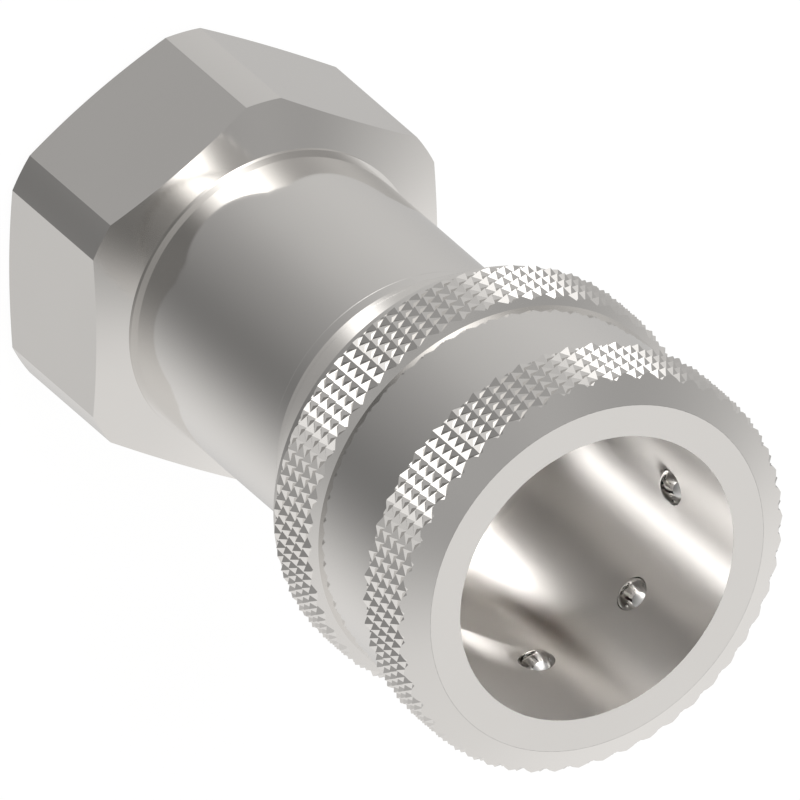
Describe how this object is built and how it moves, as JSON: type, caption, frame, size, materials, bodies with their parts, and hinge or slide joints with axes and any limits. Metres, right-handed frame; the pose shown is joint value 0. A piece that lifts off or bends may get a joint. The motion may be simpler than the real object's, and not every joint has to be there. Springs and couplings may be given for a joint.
{
  "type": "hydraulic quick coupler",
  "caption": "Female half of a ball-lock hydraulic quick coupler: knurled pull-back sleeve, locking balls, poppet valve, hexagon with female pipe thread.",
  "frame": {"origin": "centre of the flat port face at the hexagon's end, the lowest plane of the part", "axes": "+Z along the axis from the port to the mouth, +X towards a corner of the hexagon and the first locking ball"},
  "size_m": [0.034, 0.034, 0.0635],
  "materials": {
    "body_steel": "satin machined stainless steel",
    "sleeve_steel": "satin machined stainless steel with knurled bands",
    "ball_steel": "polished hardened steel",
    "spring_steel": "drawn spring wire, smooth",
    "valve_steel": "fine turned stainless steel",
    "seal_rubber": "black moulded rubber",
    "backup_plastic": "off-white unfilled plastic",
    "body_seal_plastic": "off-white filled plastic"
  },
  "bodies": {
    "coupler_body": {"socket_body": "body_steel", "port_body": "body_steel", "body_seal_ring": "body_seal_plastic", "spring_seat_washer": "valve_steel", "seat_snap_ring": "spring_steel", "nipple_seal_ring": "seal_rubber", "nipple_backup_ring": "backup_plastic", "valve_spring": "spring_steel", "valve_guide": "valve_steel"},
    "turning_spring": {"sleeve_spring": "spring_steel"},
    "locking_sleeve": {"sleeve": "sleeve_steel", "sleeve_rear_collar": "sleeve_steel"},
    "valve": {"valve_poppet": "valve_steel", "poppet_nose": "valve_steel", "poppet_seal": "seal_rubber"},
    "locking_ball_1": {"ball_1": "ball_steel"},
    "locking_ball_2": {"ball_2": "ball_steel"},
    "locking_ball_3": {"ball_3": "ball_steel"},
    "locking_ball_4": {"ball_4": "ball_steel"},
    "locking_ball_5": {"ball_5": "ball_steel"},
    "locking_ball_6": {"ball_6": "ball_steel"},
    "locking_ball_7": {"ball_7": "ball_steel"},
    "locking_ball_8": {"ball_8": "ball_steel"}
  },
  "joints": [
    {"name": "sleeve_turn", "type": "hinge", "parent": "coupler_body", "child": "turning_spring", "pos_m": [0, 0, 0.0433], "axis": [0, 0, 1], "continuous": true},
    {"name": "sleeve_slide", "type": "slide", "parent": "turning_spring", "child": "locking_sleeve", "axis": [0, 0, -1], "range_m": [0, 0.0046], "stiffness_N_per_m": 350, "springref_m": -0.01, "deforming": ["sleeve_spring"]},
    {"name": "valve_slide", "type": "slide", "parent": "coupler_body", "child": "valve", "axis": [0, 0, -1], "range_m": [0, 0.0045], "stiffness_N_per_m": 1280, "springref_m": -0.008, "deforming": ["valve_spring"]},
    {"name": "ball_1_lift", "type": "slide", "parent": "coupler_body", "child": "locking_ball_1", "axis": [1, 0, 0], "range_m": [0, 0.00097]},
    {"name": "ball_2_lift", "type": "slide", "parent": "coupler_body", "child": "locking_ball_2", "axis": [0.7071, 0.7071, 0], "range_m": [0, 0.00097]},
    {"name": "ball_3_lift", "type": "slide", "parent": "coupler_body", "child": "locking_ball_3", "axis": [0, 1, 0], "range_m": [0, 0.00097]},
    {"name": "ball_4_lift", "type": "slide", "parent": "coupler_body", "child": "locking_ball_4", "axis": [-0.7071, 0.7071, 0], "range_m": [0, 0.00097]},
    {"name": "ball_5_lift", "type": "slide", "parent": "coupler_body", "child": "locking_ball_5", "axis": [-1, 0, 0], "range_m": [0, 0.00097]},
    {"name": "ball_6_lift", "type": "slide", "parent": "coupler_body", "child": "locking_ball_6", "axis": [-0.7071, -0.7071, 0], "range_m": [0, 0.00097]},
    {"name": "ball_7_lift", "type": "slide", "parent": "coupler_body", "child": "locking_ball_7", "axis": [0, -1, 0], "range_m": [0, 0.00097]},
    {"name": "ball_8_lift", "type": "slide", "parent": "coupler_body", "child": "locking_ball_8", "axis": [0.7071, -0.7071, 0], "range_m": [0, 0.00097]}
  ],
  "couplings": [
    {"joint": "ball_1_lift", "follows": "sleeve_slide", "ratio": 0.2092},
    {"joint": "ball_2_lift", "follows": "sleeve_slide", "ratio": 0.2092},
    {"joint": "ball_3_lift", "follows": "sleeve_slide", "ratio": 0.2092},
    {"joint": "ball_4_lift", "follows": "sleeve_slide", "ratio": 0.2092},
    {"joint": "ball_5_lift", "follows": "sleeve_slide", "ratio": 0.2092},
    {"joint": "ball_6_lift", "follows": "sleeve_slide", "ratio": 0.2092},
    {"joint": "ball_7_lift", "follows": "sleeve_slide", "ratio": 0.2092},
    {"joint": "ball_8_lift", "follows": "sleeve_slide", "ratio": 0.2092}
  ]
}
